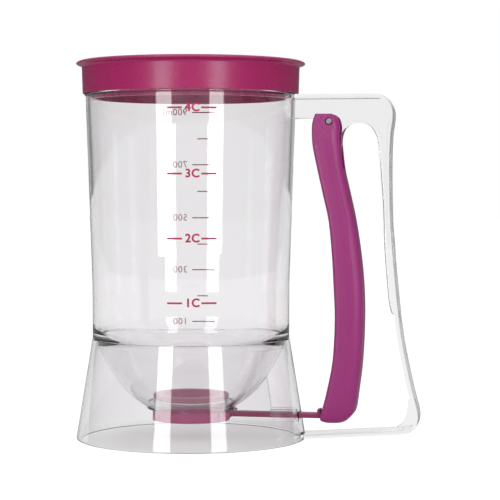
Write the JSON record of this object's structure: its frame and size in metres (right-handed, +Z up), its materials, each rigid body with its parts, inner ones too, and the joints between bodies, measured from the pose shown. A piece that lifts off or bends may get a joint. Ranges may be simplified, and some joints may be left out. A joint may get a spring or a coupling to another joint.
{
  "type": "batter dispenser",
  "caption": "Clear jug-shaped batter dispenser with a lift-off lid, a side handle and a squeeze lever that slides a gate under its bowl-shaped bottom.",
  "frame": {"origin": "centre of the object's footprint box, on the surface that it stands on; the jug's axis is 28.3 mm towards -X", "axes": "+Z up, +X towards the handle, +Y across the handle's width"},
  "size_m": [0.1717, 0.115, 0.1878],
  "materials": {
    "clear_plastic": "clear injection-moulded styrene acrylonitrile, polished",
    "lid_plastic": "moulded polypropylene, satin gloss, deep magenta",
    "lever_plastic": "moulded polypropylene, satin gloss, magenta",
    "rod_plastic": "moulded polypropylene, satin, dark magenta",
    "valve_plastic": "moulded polypropylene, satin, magenta",
    "pin_steel": "turned stainless steel",
    "spring_steel": "drawn stainless spring wire",
    "gasket_silicone": "translucent white silicone"
  },
  "bodies": {
    "jug": {"hopper": "clear_plastic", "base_skirt": "clear_plastic", "handle_frame": "clear_plastic", "return_spring": "spring_steel", "valve_seat": "valve_plastic", "valve_gasket": "gasket_silicone", "outlet_cap": "valve_plastic"},
    "lid": {"lid": "lid_plastic"},
    "lever": {"squeeze_lever": "lever_plastic", "pivot_pin": "pin_steel"},
    "gate": {"gate_rod": "rod_plastic"}
  },
  "joints": [
    {"name": "lever_pivot", "type": "hinge", "parent": "jug", "child": "lever", "pos_m": [0.0421, 0, 0.1576], "axis": [0, -1, 0], "range_deg": [0, 7], "stiffness_Nm_per_rad": 0.35, "springref_deg": -14.32, "deforming": ["return_spring"]},
    {"name": "gate_slide", "type": "slide", "parent": "jug", "child": "gate", "axis": [1, 0, 0], "range_m": [0, 0.0179]},
    {"name": "lid_lift", "type": "slide", "parent": "jug", "child": "lid", "axis": [0, 0, 1], "range_m": [0, 0.03]}
  ],
  "couplings": [
    {"joint": "gate_slide", "follows": "lever_pivot", "m_per_rad": 0.1457}
  ]
}
